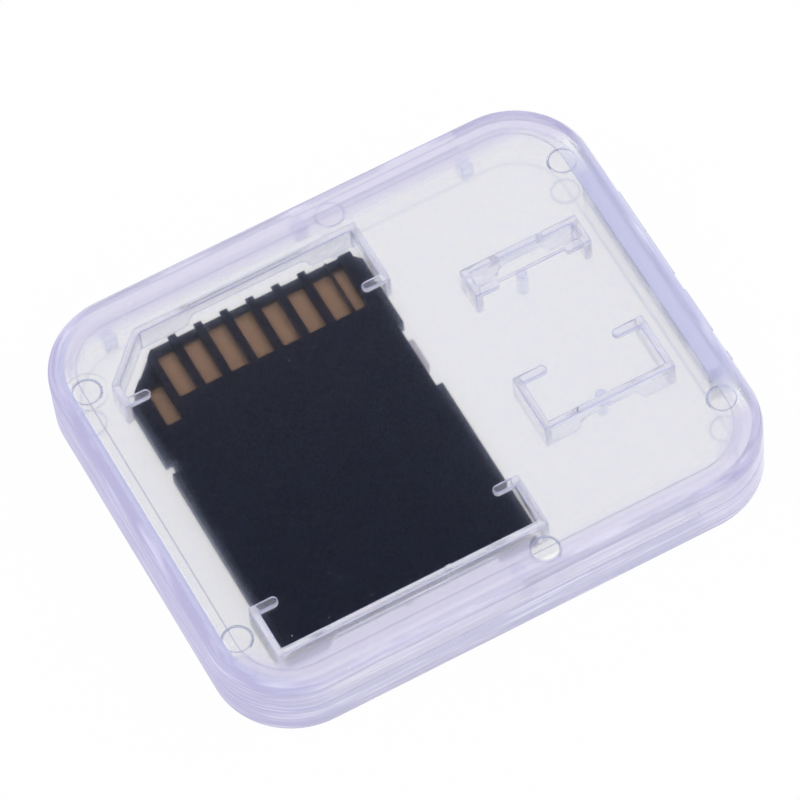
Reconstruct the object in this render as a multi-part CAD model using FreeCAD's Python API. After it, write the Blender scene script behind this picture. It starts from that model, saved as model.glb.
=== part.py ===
"""Clamshell memory card case of translucent plastic, with a full-size card in its large pocket.

The case lies closed: the plain cover is below and the tray with the card fences is on top.
X runs from the opening side to the hinge side, Y towards the card's contacts, Z up.
The origin is the middle of the footprint, on the surface that the case lies on.
"""
import FreeCAD, Part
import math
import os

from FreeCAD import Vector

# Cards that the case is made for
sd_length = 32.0
sd_width = 24.0
sd_thickness = 2.1
micro_length = 15.0
micro_width = 11.0
micro_nose_step = 1.3

# Pockets: room round the cards, fence walls and the margins to the case's sides
side_clearance = 0.1
sd_length_play = 1.4
micro_length_play = 1.3
fence_wall = 0.7
opening_margin = 4.85
pocket_gap = 4.05
hinge_margin = 4.4
tail_margin = 4.58
contact_margin = 4.02
micro_shift = -0.2

# Heights, stacked from the floor of the cover to the top of the tray
plate = 1.0
sd_post_height = 1.85
card_play = 0.25
tongue_height = 0.6
tray_depth = 3.0

# Shells
corner_radius = 7.4
edge_fillet = 0.9
wall = 1.1
lip = 0.5
lip_depth = 0.8
lip_gap = 0.15
parting_chamfer = 0.12
mark_diameter = 2.8
mark_depth = 0.15
mark_draft = 0.12
mark_ring_diameter = 3.8
line_inset = 2.4
line_width = 0.12
line_depth = 0.1
side_slot_height = 0.6
side_slot_depth = 0.3
lip_end_share = 0.008
overrun = 1.0
level_tolerance = 1e-4

# Hinge straps, and the thick stretch of wall behind them
strap_radius = 0.7
strap_thickness = 0.35
strap_width = 4.6
nib_width = 0.8
hinge_pad_width = 22.0
strap_end_share = 0.228
strap_gaps = (0.35, 2.05, 2.58)

# Latch on the opening side
latch_length = 3.1
latch_bead = 0.1
latch_bead_height = 0.3
latch_groove_depth = 0.15
latch_groove_margin = 0.1
latch_centre_shares = (0.253, 0.113)

# Ribs on the long walls, at shares of the case's length
rib_width = 1.2
end_rib_shares = (-0.355, 0.32)

# Ejector marks, at shares of the case's length and width
mark_shares = (
    (-0.447, 0.321), (0.061, 0.445), (0.448, 0.321),
    (0.448, -0.321), (0.061, -0.445), (-0.447, -0.321),
)

# Fences
fence_depth = 2.8
fence_low_depth = 1.35
fence_ramp = 1.6
fence_tall_run = 4.2
micro_tall_run = 2.6
fence_cut = 3.7
sd_contact_leg = 6.75
sd_tail_leg = 5.5
micro_contact_leg = 3.1
micro_tail_leg = 5.9
sd_tongue = 1.9
micro_contact_tongue = 1.75
micro_tail_tongue = 2.4
tongue_width = 0.9
step_rib_width = 0.3
step_rib_height = 0.2
crush_rib_width = 0.5
crush_rib_depth = 0.08
crush_rib_share = 0.64

# Posts on the cover that hold the cards against the tray
post_diameter = 1.0
micro_post_height = 2.9
post_end_distance = 1.15

# Card housing
card_tail_gap = 0.1
card_cut = 4.0
card_nose_chamfer = 0.8
card_tail_radius = 1.0
card_floor = 0.4
rail_width = 0.75
rail_thickness = 1.4
notch_depth = 0.6
notch_length = 1.4
notch_distance = 10.3
label_recess = 0.1
label_thickness = 0.08
label_margin = 1.6
label_tail_distance = 2.4
label_front_distance = 4.6
label_gap = 0.1
rib_end_proud = 0.25
rib_end_height = 0.3
front_bar_drop = 0.3

# Card contents
board_margin = 1.75
board_tail_distance = 1.6
board_front_distance = 0.5
board_thickness = 0.4
board_ledge = 0.8
board_seat = 0.05
contact_thickness = 0.05
contact_count = 7
contact_width = 1.7
contact_length = 4.7
contact_front_distance = 0.9
long_contacts = (2, 3)
long_contact_extra = 0.25
first_contact_distance = 4.8
last_contact_distance = 4.2
narrow_contact_width = 1.1
narrow_contact_gap = 0.23
low_contact_width = 1.45
low_contact_length = 4.1
low_contact_gap = 0.775
low_contact_front_distance = 3.5
window_margin = 0.03
memory_chip_width = 12.0
memory_chip_tail_distance = 4.0
controller_size = 6.0
controller_gap = 1.5
controller_front_distance = 4.5
chip_thickness = 0.45
chip_gap = 0.1
capacitor_size = (0.5, 1.0)
capacitor_pitch = 1.6
capacitor_count = 4
capacitor_thickness = 0.4
capacitor_gap = 1.2

# Write-protect slider
slider_notch_depth = 0.75
slider_notch_length = 7.0
slider_notch_distance = 8.3
slider_length = 3.0
slider_rest_distance = 10.15
slider_travel = 1.8
slider_gap = 0.05
slider_inset = 0.08
slider_groove_depth = 0.6
slider_groove_height = 0.6
slider_tongue_length = 2.0

# Sizes that follow from the ones above
sd_fence_width = sd_width + 2 * side_clearance + 2 * fence_wall
sd_fence_length = sd_length + sd_length_play + 2 * fence_wall
micro_fence_width = micro_width + 2 * side_clearance + 2 * fence_wall
micro_fence_length = micro_length + micro_length_play + 2 * fence_wall
micro_nose_fence_width = micro_fence_width - micro_nose_step
case_length = opening_margin + sd_fence_width + pocket_gap + micro_fence_width + hinge_margin
case_width = tail_margin + sd_fence_length + contact_margin
case_thickness = 2 * plate + sd_post_height + sd_thickness + card_play + tongue_height
split = case_thickness - tray_depth
ceiling = case_thickness - plate
rebate_floor = split - lip_depth - lip_gap
card_split = card_floor + chip_gap + chip_thickness + board_seat
contact_pitch = (sd_width - first_contact_distance - last_contact_distance) / (contact_count - 1)

# Places
centre_x = -strap_radius / 2
opening_x = centre_x - case_length / 2
hinge_x = centre_x + case_length / 2
lip_end_x = centre_x + lip_end_share * case_length
tail_y = -case_width / 2
contact_y = case_width / 2
sd_left = opening_x + opening_margin
sd_right = sd_left + sd_fence_width
sd_tail = tail_y + tail_margin
sd_front = sd_tail + sd_fence_length
micro_right = hinge_x - hinge_margin
micro_left = micro_right - micro_fence_width
micro_tail = micro_shift - micro_fence_length / 2
micro_front = micro_shift + micro_fence_length / 2
card_left = sd_left + fence_wall + side_clearance
card_right = card_left + sd_width
card_tail = sd_tail + fence_wall + card_tail_gap
card_front = card_tail + sd_length
card_low = plate + sd_post_height
card_high = card_low + sd_thickness
card_parting = card_low + card_split
board_low = card_parting - board_seat
board_high = board_low + board_thickness


def block(low, high):
    """Box between two corners."""
    return Part.makeBox(high[0] - low[0], high[1] - low[1], high[2] - low[2], Vector(*low))


def prism(points, low, high):
    """Straight solid over a closed outline of X, Y points."""
    corners = [Vector(x, y, low) for x, y in points]
    face = Part.Face(Part.makePolygon(corners + corners[:1]))
    return face.extrude(Vector(0, 0, high - low))


def joined(first, *others):
    """One solid from touching pieces, without the seams between them."""
    return first.fuse(list(others)).removeSplitter()


def outline(inset, level):
    """Rounded outline of the case, moved inwards by an inset."""
    half_x = case_length / 2 - inset
    half_y = case_width / 2 - inset
    radius = corner_radius - inset
    edges = []
    for quarter in range(4):
        turn = FreeCAD.Rotation(Vector(0, 0, 1), 90 * quarter)
        along, across = (half_x, half_y) if quarter % 2 == 0 else (half_y, half_x)
        diagonal = radius * math.sqrt(0.5)
        start = Vector(along, radius - across, 0)
        end = Vector(along, across - radius, 0)
        middle = Vector(along - radius + diagonal, across - radius + diagonal, 0)
        stop = Vector(along - radius, across, 0)
        place = Vector(centre_x, 0, level)
        start, end, middle, stop = (turn.multVec(p) + place for p in (start, end, middle, stop))
        edges += [Part.LineSegment(start, end).toShape(), Part.Arc(end, middle, stop).toShape()]
    return Part.Wire(edges)


def outline_block(inset, low, high):
    """Solid over the case's outline, moved inwards by an inset."""
    return Part.Face(outline(inset, low)).extrude(Vector(0, 0, high - low))


def edges_at(shape, level):
    """Edges that lie flat at one height."""
    flat = []
    for edge in shape.Edges:
        box = edge.BoundBox
        if abs(box.ZMin - level) < level_tolerance and abs(box.ZMax - level) < level_tolerance:
            flat.append(edge)
    return flat


def half_shell(plate_level, cavity_low, cavity_high):
    """One shell: filleted plate edge, chamfered parting edge and straight walls."""
    low, high = min(plate_level, split), max(plate_level, split)
    body = outline_block(0, low, high)
    body = body.makeFillet(edge_fillet, edges_at(body, plate_level))
    body = body.makeChamfer(parting_chamfer, edges_at(body, split))
    return body.cut(outline_block(wall, cavity_low, cavity_high))


def marks(face_z, inward):
    """Mould marks to be cut into a plate's inner face: ejector discs and a fine line round it.

    inward is the direction from the face into the plate, +1 or -1 along Z.
    """
    disc_low = min(face_z, face_z + inward * mark_depth)
    room = outline_block(wall, disc_low, disc_low + mark_depth)
    wide, narrow = mark_diameter / 2, mark_diameter / 2 - mark_draft
    cuts = []
    for share_x, share_y in mark_shares:
        place = Vector(centre_x + share_x * case_length, share_y * case_width, face_z)
        disc = Part.makeCone(wide, narrow, mark_depth, place, Vector(0, 0, inward))
        cuts.append(disc.common(room))
    line_low = min(face_z, face_z + inward * line_depth)
    line = outline_block(line_inset, line_low, line_low + line_depth)
    cuts.append(line.cut(outline_block(line_inset + line_width, line_low, line_low + line_depth)))
    return cuts


def mark_ring():
    """Fine ring round the tray's first ejector mark."""
    share_x, share_y = mark_shares[0]
    place = Vector(centre_x + share_x * case_length, share_y * case_width, ceiling)
    outer = Part.makeCylinder(mark_ring_diameter / 2, line_depth, place)
    ring = outer.cut(Part.makeCylinder(mark_ring_diameter / 2 - line_width, line_depth, place))
    return ring.common(outline_block(wall, ceiling, ceiling + line_depth))


def hinge_pad(low, high):
    """Thick stretch of wall behind the hinge straps."""
    return block(
        (hinge_x - line_inset, -hinge_pad_width / 2, low),
        (hinge_x - wall, hinge_pad_width / 2, high),
    )


def wall_ribs(shares, low, high):
    """Short upright ribs on both long walls, seated on the walls' inner faces."""
    cavity = outline_block(wall, low, high)
    ribs = []
    for share in shares:
        middle = centre_x + share * case_length
        for y0, y1 in ((tail_y, tail_y + line_inset), (contact_y - line_inset, contact_y)):
            rib = block((middle - rib_width / 2, y0, low), (middle + rib_width / 2, y1, high))
            ribs.append(rib.common(cavity).Solids[0])
    return Part.makeCompound(ribs)


def opening_half(shape, end_x):
    """The stretch of a shape on the opening side of a place along X."""
    box = shape.BoundBox
    return shape.common(block((box.XMin, box.YMin, box.ZMin), (end_x, box.YMax, box.ZMax)))


def side_slots():
    """Shallow slots in the tray's long sides, along the parting, between two pairs of ribs."""
    end_x = centre_x + end_rib_shares[-1] * case_length
    slots = []
    for y0, y1 in ((tail_y, tail_y + side_slot_depth), (contact_y - side_slot_depth, contact_y)):
        slots.append(block((lip_end_x, y0, split), (end_x, y1, split + side_slot_height)))
    return slots


def latch_level():
    """Height of the latch beads, half-way down the lip."""
    return split - lip_depth / 2


def latch_groove(share):
    """Room for one latch bead in the cover's wall."""
    middle = share * case_width
    half = latch_length / 2 + latch_groove_margin
    face_x = opening_x + wall - lip - lip_gap
    rise = latch_bead_height / 2 + latch_groove_margin
    return block(
        (face_x - latch_groove_depth, middle - half, latch_level() - rise),
        (face_x + overrun, middle + half, latch_level() + rise),
    )


def latch_bead_ridge(share):
    """One latch bead: a three-sided ridge on the outside of the tray's lip."""
    face_x = opening_x + wall - lip
    start = share * case_width - latch_length / 2
    level = latch_level()
    corners = [
        Vector(face_x, start, level - latch_bead_height / 2),
        Vector(face_x - latch_bead, start, level),
        Vector(face_x, start, level + latch_bead_height / 2),
    ]
    face = Part.Face(Part.makePolygon(corners + corners[:1]))
    return face.extrude(Vector(0, latch_length, 0))


def cover_shell():
    """Plain lower shell, with a rebate for the tray's lip."""
    body = half_shell(0, plate, split + overrun)
    rebate = outline_block(wall - lip - lip_gap, rebate_floor, split + overrun)
    body = body.cut(opening_half(rebate, lip_end_x + lip_gap))
    body = joined(body, hinge_pad(plate, split))
    body = body.cut(marks(plate, -1))
    return body.cut([latch_groove(share) for share in latch_centre_shares])


def tray_shell():
    """Upper shell, whose lip goes inside the cover's wall on the opening half."""
    body = half_shell(case_thickness, split - overrun, ceiling)
    ring = outline_block(wall - lip, split - lip_depth, split)
    ring = ring.cut(outline_block(wall, split - lip_depth - overrun, split + overrun))
    body = joined(body, opening_half(ring, lip_end_x), hinge_pad(split, ceiling))
    return body.cut(marks(ceiling, 1) + [mark_ring()] + side_slots())


def strap_spans():
    """Start and width of each hinge strap along Y, from the contact end to the narrow nib."""
    end = strap_end_share * case_width
    widths = [strap_width] * len(strap_gaps) + [nib_width]
    spans = []
    for width, gap in zip(widths, (0,) + strap_gaps):
        end -= gap + width
        spans.append((end, width))
    return spans


def hinge_strap(start, width):
    """Thin strap, folded round the parting line on the hinge side."""
    base = Vector(hinge_x, start, split)
    along = Vector(0, 1, 0)
    outer = Part.makeCylinder(strap_radius, width, base, along)
    inner = Part.makeCylinder(strap_radius - strap_thickness, width, base, along)
    box = outer.BoundBox
    outside = block((hinge_x, box.YMin, box.ZMin), (box.XMax, box.YMax, box.ZMax))
    return outer.cut(inner).common(outside).Solids[0]


def ramp(start, end):
    """S-shaped rise between two points in an XZ plane, from two equal arcs."""
    run, rise = end.x - start.x, end.z - start.z
    radius = (run * run + rise * rise) / (4 * abs(rise))
    half_angle = math.asin(abs(run) / 2 / radius) / 2
    across = math.copysign(radius * math.sin(half_angle), run)
    up = math.copysign(radius * (1 - math.cos(half_angle)), rise)
    middle = (start + end) / 2
    first = Part.Arc(start, start + Vector(across, 0, up), middle)
    second = Part.Arc(middle, end - Vector(across, 0, up), end)
    return [first.toShape(), second.toShape()]


def fence_relief(left, right, y0, y1, tall_run):
    """Cutter that lowers the middle of a fence's end wall, with soft ramps at its ends."""
    low = ceiling - fence_depth
    high = ceiling - fence_low_depth
    below = low - overrun
    a = Vector(left + tall_run, y0, low)
    b = Vector(left + tall_run + fence_ramp, y0, high)
    c = Vector(right - tall_run - fence_ramp, y0, high)
    d = Vector(right - tall_run, y0, low)
    lower_right, lower_left = Vector(d.x, y0, below), Vector(a.x, y0, below)
    edges = ramp(a, b) + [Part.LineSegment(b, c).toShape()] + ramp(c, d)
    for start, end in ((d, lower_right), (lower_right, lower_left), (lower_left, a)):
        edges.append(Part.LineSegment(start, end).toShape())
    return Part.Face(Part.Wire(edges)).extrude(Vector(0, y1 - y0, 0))


def tongue(root_x, tip_x, leg_y, side):
    """Low rib with a round tip, from the end of a fence's leg towards the card's middle."""
    low = ceiling - tongue_height
    radius = tongue_width / 2
    middle = leg_y + side * radius
    y0, y1 = middle - radius, middle + radius
    round_x = tip_x - math.copysign(radius, tip_x - root_x)
    x0, x1 = min(root_x, round_x), max(root_x, round_x)
    tip = Part.makeCylinder(radius, tongue_height, Vector(round_x, middle, low))
    return joined(block((x0, y0, low), (x1, y1, ceiling)), tip)


def fence(left, right, end_y, side, leg, tall_run, tongue_length, cut=0):
    """U-shaped bracket on the tray's plate, with a tongue at the end of each leg.

    side is +1 where the end wall is towards the contacts, and -1 towards the tail.
    """
    low = ceiling - fence_depth
    leg_y = end_y - side * leg
    past_y = leg_y - side * overrun
    inner_end = end_y - side * fence_wall
    outer_cut = cut + (2 - math.sqrt(2)) * fence_wall if cut else 0
    outer = [(left, leg_y), (left, end_y - side * outer_cut), (left + outer_cut, end_y)]
    outer += [(right, end_y), (right, leg_y)]
    inner_left, inner_right = left + fence_wall, right - fence_wall
    inner = [(inner_left, past_y), (inner_left, inner_end - side * cut), (inner_left + cut, inner_end)]
    inner += [(inner_right, inner_end), (inner_right, past_y)]
    if not cut:
        del outer[1], inner[1]
    walls = prism(outer, low, ceiling).cut(prism(inner, low - overrun, ceiling + overrun))
    y0, y1 = sorted((inner_end - side * overrun, end_y + side * overrun))
    walls = walls.cut(fence_relief(left + outer_cut, right, y0, y1, tall_run))
    left_tongue = tongue(inner_left, inner_left + tongue_length, leg_y, side)
    right_tongue = tongue(inner_right, inner_right - tongue_length, leg_y, side)
    return joined(walls, left_tongue, right_tongue)


def sd_tail_fence():
    """Tail end of the large pocket, with a crush rib that takes up the card's play."""
    body = fence(sd_left, sd_right, sd_tail, -1, sd_tail_leg, fence_tall_run, sd_tongue)
    middle = sd_left + crush_rib_share * sd_fence_width
    inner_y = sd_tail + fence_wall
    rib = block(
        (middle - crush_rib_width / 2, inner_y, ceiling - fence_low_depth),
        (middle + crush_rib_width / 2, inner_y + crush_rib_depth, ceiling),
    )
    return joined(body, rib)


def micro_contact_fence():
    """Contact end of the small pocket: narrower, with a low step between its tongues."""
    left = micro_right - micro_nose_fence_width
    body = fence(
        left, micro_right, micro_front, 1, micro_contact_leg, micro_tall_run, micro_contact_tongue
    )
    reach = fence_wall + micro_contact_tongue - tongue_width / 2
    middle = micro_front - micro_contact_leg + tongue_width / 2
    step = block(
        (left + reach, middle - step_rib_width / 2, ceiling - step_rib_height),
        (micro_right - reach, middle + step_rib_width / 2, ceiling),
    )
    return joined(body, step)


def post(x, y, height):
    """Round post on the cover's floor."""
    return Part.makeCylinder(post_diameter / 2, height, Vector(x, y, plate))


def card_blank(low, high):
    """Outline of the card between two heights, with its cut corner and rounded tail."""
    points = [
        (card_left, card_tail), (card_right, card_tail),
        (card_right, card_front - card_nose_chamfer), (card_right - card_nose_chamfer, card_front),
        (card_left + card_cut, card_front), (card_left, card_front - card_cut),
    ]
    body = prism(points, low, high)
    tail_edges = []
    for edge in body.Edges:
        box = edge.BoundBox
        upright = box.ZLength > high - low - level_tolerance
        if upright and abs(box.YMax - card_tail) < level_tolerance:
            tail_edges.append(edge)
    return body.makeFillet(card_tail_radius, tail_edges)


def card_side_cuts():
    """Side notch, slider notch and slider groove, cut through both housings."""
    notch_y = card_front - notch_distance
    side_notch = block(
        (card_left - overrun, notch_y - notch_length, card_low - overrun),
        (card_left + notch_depth, notch_y, card_high + overrun),
    )
    window_y = card_front - slider_notch_distance
    window = block(
        (card_right - slider_notch_depth, window_y - slider_notch_length, card_low - overrun),
        (card_right + overrun, window_y, card_high + overrun),
    )
    y0, y1 = slider_tongue_span()
    middle = card_parting
    groove = block(
        (
            card_right - slider_notch_depth - slider_groove_depth,
            y0 - slider_gap,
            middle - slider_groove_height / 2,
        ),
        (card_right, y1 + slider_travel + slider_gap, middle + slider_groove_height / 2),
    )
    return [side_notch, window, groove]


def slider_tongue_span():
    """Y reach of the slider's tongue at rest."""
    middle = card_front - slider_rest_distance - slider_length / 2
    return middle - slider_tongue_length / 2, middle + slider_tongue_length / 2


def board_corners(inset, low, high):
    """Corners of a box that follows the circuit board's outline, moved inwards by an inset."""
    return (
        (card_left + board_margin + inset, card_tail + board_tail_distance + inset, low),
        (card_right - board_margin - inset, card_front - board_front_distance - inset, high),
    )


def board_blank(inset, low, high):
    """Box over the circuit board's outline, with the card's cut corner taken off."""
    body = block(*board_corners(inset, low, high))
    cut = card_cut + board_margin + inset
    corner = [
        (card_left - overrun, card_front - cut - overrun),
        (card_left + cut + overrun, card_front + overrun),
        (card_left - overrun, card_front + overrun),
    ]
    return body.cut(prism(corner, low - overrun, high + overrun))


def contact_places():
    """Left edge, width, front edge and length of each contact, numbered along the card."""
    front = card_front - contact_front_distance
    places = []
    for index in range(contact_count):
        left = card_left + first_contact_distance + index * contact_pitch - contact_width / 2
        extra = long_contact_extra if index in long_contacts else 0
        places.append((left, contact_width, front + extra, contact_length + extra))
    narrow = places[-1][0] + contact_width + narrow_contact_gap
    low = places[0][0] - low_contact_gap - low_contact_width
    places.append((narrow, narrow_contact_width, front, contact_length))
    places.append((low, low_contact_width, card_front - low_contact_front_distance, low_contact_length))
    return places


def card_contact(place):
    """One gilded contact on the circuit board."""
    left, width, front, length = place
    return block((left, front - length, board_high), (left + width, front, board_high + contact_thickness))


def contact_window(place):
    """Opening over one contact, and a shallower one over the bar in front of it."""
    left, width, front, length = place
    x0, x1 = left - window_margin, left + width + window_margin
    rear_y, bar_y = front - length - window_margin, front + window_margin
    window = block((x0, rear_y, board_high), (x1, bar_y, card_high + overrun))
    slot = block((x0, bar_y, card_high - front_bar_drop), (x1, card_front + overrun, card_high + overrun))
    return window.fuse(slot)


def card_rib_ends():
    """Small proud ends of the ribs between the contacts, on the card's front edge."""
    ends = []
    for index in range(contact_count - 1):
        middle = card_left + first_contact_distance + (index + 1 / 2) * contact_pitch
        half = (contact_pitch - contact_width) / 2 - window_margin
        ends.append(block(
            (middle - half, card_front, card_high - rib_end_height),
            (middle + half, card_front + rib_end_proud, card_high),
        ))
    return ends


def card_rear_housing():
    """Half of the card that faces the tray: contact windows, ribs and side rails."""
    body = card_blank(card_parting, card_high)
    for side_x, inner_x in ((card_left, card_left + rail_width), (card_right, card_right - rail_width)):
        body = body.cut(block(
            (min(side_x, inner_x), card_tail - overrun, card_low + rail_thickness),
            (max(side_x, inner_x), card_front + overrun, card_high + overrun),
        ))
    body = body.cut(board_blank(0, card_parting - overrun, board_high))
    body = body.cut([contact_window(place) for place in contact_places()])
    return joined(body.cut(card_side_cuts()), *card_rib_ends())


def label_corners(inset, low, high):
    """Corners of the label's place on the card's far face, moved inwards by an inset."""
    return (
        (card_left + label_margin + inset, card_tail + label_tail_distance + inset, low),
        (card_right - label_margin - inset, card_front - label_front_distance - inset, high),
    )


def card_front_housing():
    """Half of the card that faces the cover: chip room, board ledge and label recess."""
    body = card_blank(card_low, card_parting)
    body = body.cut(board_blank(0, board_low, card_parting + overrun))
    body = body.cut(board_blank(board_ledge, card_low + card_floor, card_parting + overrun))
    body = body.cut(block(*label_corners(0, card_low - overrun, card_low + label_recess)))
    return body.cut(card_side_cuts())


def card_label():
    """Blank label in its recess."""
    seat = card_low + label_recess
    return block(*label_corners(label_gap, seat - label_thickness, seat))


def chip(x, y, size_x, size_y, thickness):
    """Flat package under the circuit board."""
    return block((x - size_x / 2, y, board_low - thickness), (x + size_x / 2, y + size_y, board_low))


def card_chips():
    """Memory, controller and capacitors under the circuit board, from tail to front."""
    middle = (card_left + card_right) / 2
    memory_y = card_tail + memory_chip_tail_distance
    controller_y = card_front - controller_front_distance - controller_size
    memory_length = controller_y - controller_gap - memory_y
    memory = chip(middle, memory_y, memory_chip_width, memory_length, chip_thickness)
    controller = chip(middle, controller_y, controller_size, controller_size, chip_thickness)
    first = middle + controller_size / 2 + capacitor_gap
    row = (capacitor_count - 1) * capacitor_pitch + capacitor_size[1]
    row_y = controller_y + (controller_size - row) / 2
    capacitors = []
    for index in range(capacitor_count):
        y = row_y + index * capacitor_pitch
        capacitors.append(chip(first, y, *capacitor_size, capacitor_thickness))
    return memory, controller, Part.makeCompound(capacitors)


def write_protect_slider():
    """Small slider in the card's edge, held by a tongue in a groove."""
    front = card_front - slider_rest_distance
    inner_x = card_right - slider_notch_depth + slider_gap
    knob = block(
        (inner_x, front - slider_length, card_low + slider_gap),
        (card_right - slider_inset, front, card_low + rail_thickness - slider_gap),
    )
    y0, y1 = slider_tongue_span()
    half = slider_groove_height / 2 - slider_gap
    held = block(
        (inner_x - slider_groove_depth, y0, card_parting - half),
        (inner_x, y1, card_parting + half),
    )
    return joined(knob, held)


def build():
    """All pieces of the case and of the card in it, by node name."""
    sd_middle = (sd_left + sd_right) / 2
    micro_middle = (micro_left + micro_right) / 2
    inset = fence_wall + post_end_distance
    memory, controller, capacitors = card_chips()
    pieces = {
        "cover_shell": cover_shell(),
        "cover_wall_ribs": wall_ribs(end_rib_shares, plate, rebate_floor),
        "sd_post_contact_end": post(sd_middle, card_front - post_end_distance, sd_post_height),
        "sd_post_tail_end": post(sd_middle, card_tail + post_end_distance, sd_post_height),
        "micro_post_contact_end": post(micro_middle, micro_front - inset, micro_post_height),
        "micro_post_tail_end": post(micro_middle, micro_tail + inset, micro_post_height),
        "tray_shell": tray_shell(),
        "tray_wall_ribs": wall_ribs((lip_end_share,), split, ceiling),
        "sd_fence_contact_end": fence(
            sd_left, sd_right, sd_front, 1, sd_contact_leg, fence_tall_run, sd_tongue, fence_cut
        ),
        "sd_fence_tail_end": sd_tail_fence(),
        "micro_fence_contact_end": micro_contact_fence(),
        "micro_fence_tail_end": fence(
            micro_left, micro_right, micro_tail, -1, micro_tail_leg, micro_tall_run, micro_tail_tongue
        ),
        "card_rear_housing": card_rear_housing(),
        "card_front_housing": card_front_housing(),
        "card_circuit_board": board_blank(0, board_low, board_high),
        "card_memory_chip": memory,
        "card_controller_chip": controller,
        "card_capacitors": capacitors,
        "card_label": card_label(),
        "write_protect_slider": write_protect_slider(),
    }
    for number, (start, width) in enumerate(strap_spans(), 1):
        pieces[f"hinge_strap_{number}"] = hinge_strap(start, width)
    for number, share in enumerate(latch_centre_shares, 1):
        pieces[f"latch_bead_{number}"] = latch_bead_ridge(share)
    for number, place in enumerate(contact_places(), 1):
        pieces[f"card_contact_{number}"] = card_contact(place)
    return pieces


os.makedirs("parts", exist_ok=True)
for name, shape in build().items():
    shape.exportStep(f"parts/{name}.step")
    print(name, len(shape.Solids), "valid" if shape.isValid() else "not valid", f"{shape.Volume:.2f} mm3")
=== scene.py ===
# %% Load the frame
import math

import bmesh
import bpy
from mathutils import Matrix, Vector


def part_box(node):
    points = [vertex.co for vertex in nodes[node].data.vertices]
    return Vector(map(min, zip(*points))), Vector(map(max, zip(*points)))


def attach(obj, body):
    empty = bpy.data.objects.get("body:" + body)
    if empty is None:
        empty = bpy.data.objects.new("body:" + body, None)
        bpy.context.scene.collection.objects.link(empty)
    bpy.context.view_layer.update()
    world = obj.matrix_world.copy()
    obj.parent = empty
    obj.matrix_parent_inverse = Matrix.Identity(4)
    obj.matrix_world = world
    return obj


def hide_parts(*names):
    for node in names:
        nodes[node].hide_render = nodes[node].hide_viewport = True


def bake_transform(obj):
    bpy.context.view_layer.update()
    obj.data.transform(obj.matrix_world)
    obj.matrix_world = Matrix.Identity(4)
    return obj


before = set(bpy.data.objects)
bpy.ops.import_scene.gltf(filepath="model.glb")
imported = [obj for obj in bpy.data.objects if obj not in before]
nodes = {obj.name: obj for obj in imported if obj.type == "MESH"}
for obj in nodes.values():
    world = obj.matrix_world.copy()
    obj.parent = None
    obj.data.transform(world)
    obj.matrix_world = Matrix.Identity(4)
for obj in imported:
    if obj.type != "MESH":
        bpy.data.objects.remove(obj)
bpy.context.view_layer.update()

MM = 0.001

# %% [markdown]
# The case is a clamshell of clear polypropylene that lies closed on its plain cover. The tray is on
# top, and its fences hold a black memory card. The CAD nodes already have the right shapes, so this
# lesson is mostly about finishes. The first thing to read from the nodes is where the plates, walls
# and parting are, because the finishes below change with the place on the case.

# %% Sizes read from the frame
cover_low, cover_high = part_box("cover_shell")
strap_low, strap_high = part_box("hinge_strap_1")

outline_centre = (cover_low + cover_high) / 2
outline_half = (cover_high - cover_low) / 2
opening_x, hinge_x = cover_low.x, cover_high.x
case_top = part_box("tray_shell")[1].z
floor_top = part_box("cover_wall_ribs")[0].z
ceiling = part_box("sd_fence_contact_end")[1].z
split = (strap_low.z + strap_high.z) / 2
print("parting at", round(split / MM, 2), "mm, inner height", round((ceiling - floor_top) / MM, 2), "mm")

# %% [markdown]
# Colours are written as sRGB hex values, as a picture editor shows them, and one function turns them
# to the linear values that shaders need. Another small function adds a node with its settings and
# links, so that each material below reads as a list of steps. Three kinds of node are used so often
# that they get short names of their own.

# %% Helpers for colours and nodes
MATH = "ShaderNodeMath"
VECTOR = "ShaderNodeVectorMath"
RANGE = "ShaderNodeMapRange"


def linear(hex_text, alpha=1.0):
    """Linear colour from an sRGB hex value."""
    channels = [int(hex_text[i:i + 2], 16) / 255 for i in (1, 3, 5)]
    return [c / 12.92 if c <= 0.04045 else ((c + 0.055) / 1.055) ** 2.4 for c in channels] + [alpha]


def add(tree, kind, inputs=(), **settings):
    """One node: its settings, then its inputs, which are values or other nodes' sockets."""
    made = tree.nodes.new(kind)
    for name, value in settings.items():
        setattr(made, name, value)
    for name, value in dict(inputs).items():
        if isinstance(value, bpy.types.NodeSocket):
            tree.links.new(value, made.inputs[name])
        else:
            made.inputs[name].default_value = value
    return made


def start_material(name):
    """An empty node material with its output node."""
    material = bpy.data.materials.new(name)
    material.use_nodes = True
    material.node_tree.nodes.clear()
    return material, material.node_tree, add(material.node_tree, "ShaderNodeOutputMaterial")


print("white is", linear("#ffffff"))

# %% [markdown]
# Clear plastic doesn't look the same all over. Its walls and rims are seen along their length, where
# the light passes much more plastic, and they look milky lilac, while the flat plates look clear. A
# painted map could hold this, but sums on the Object coordinates need no picture. The case seen from
# above is a rectangle with round corners, so one distance, the inset from that outline, says how near
# a point is to a wall. It is the usual distance to a rounded box.

# %% Distance in from the case's outline
corner_radius = 7.4 * MM
corner_fade = corner_radius / 3


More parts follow.
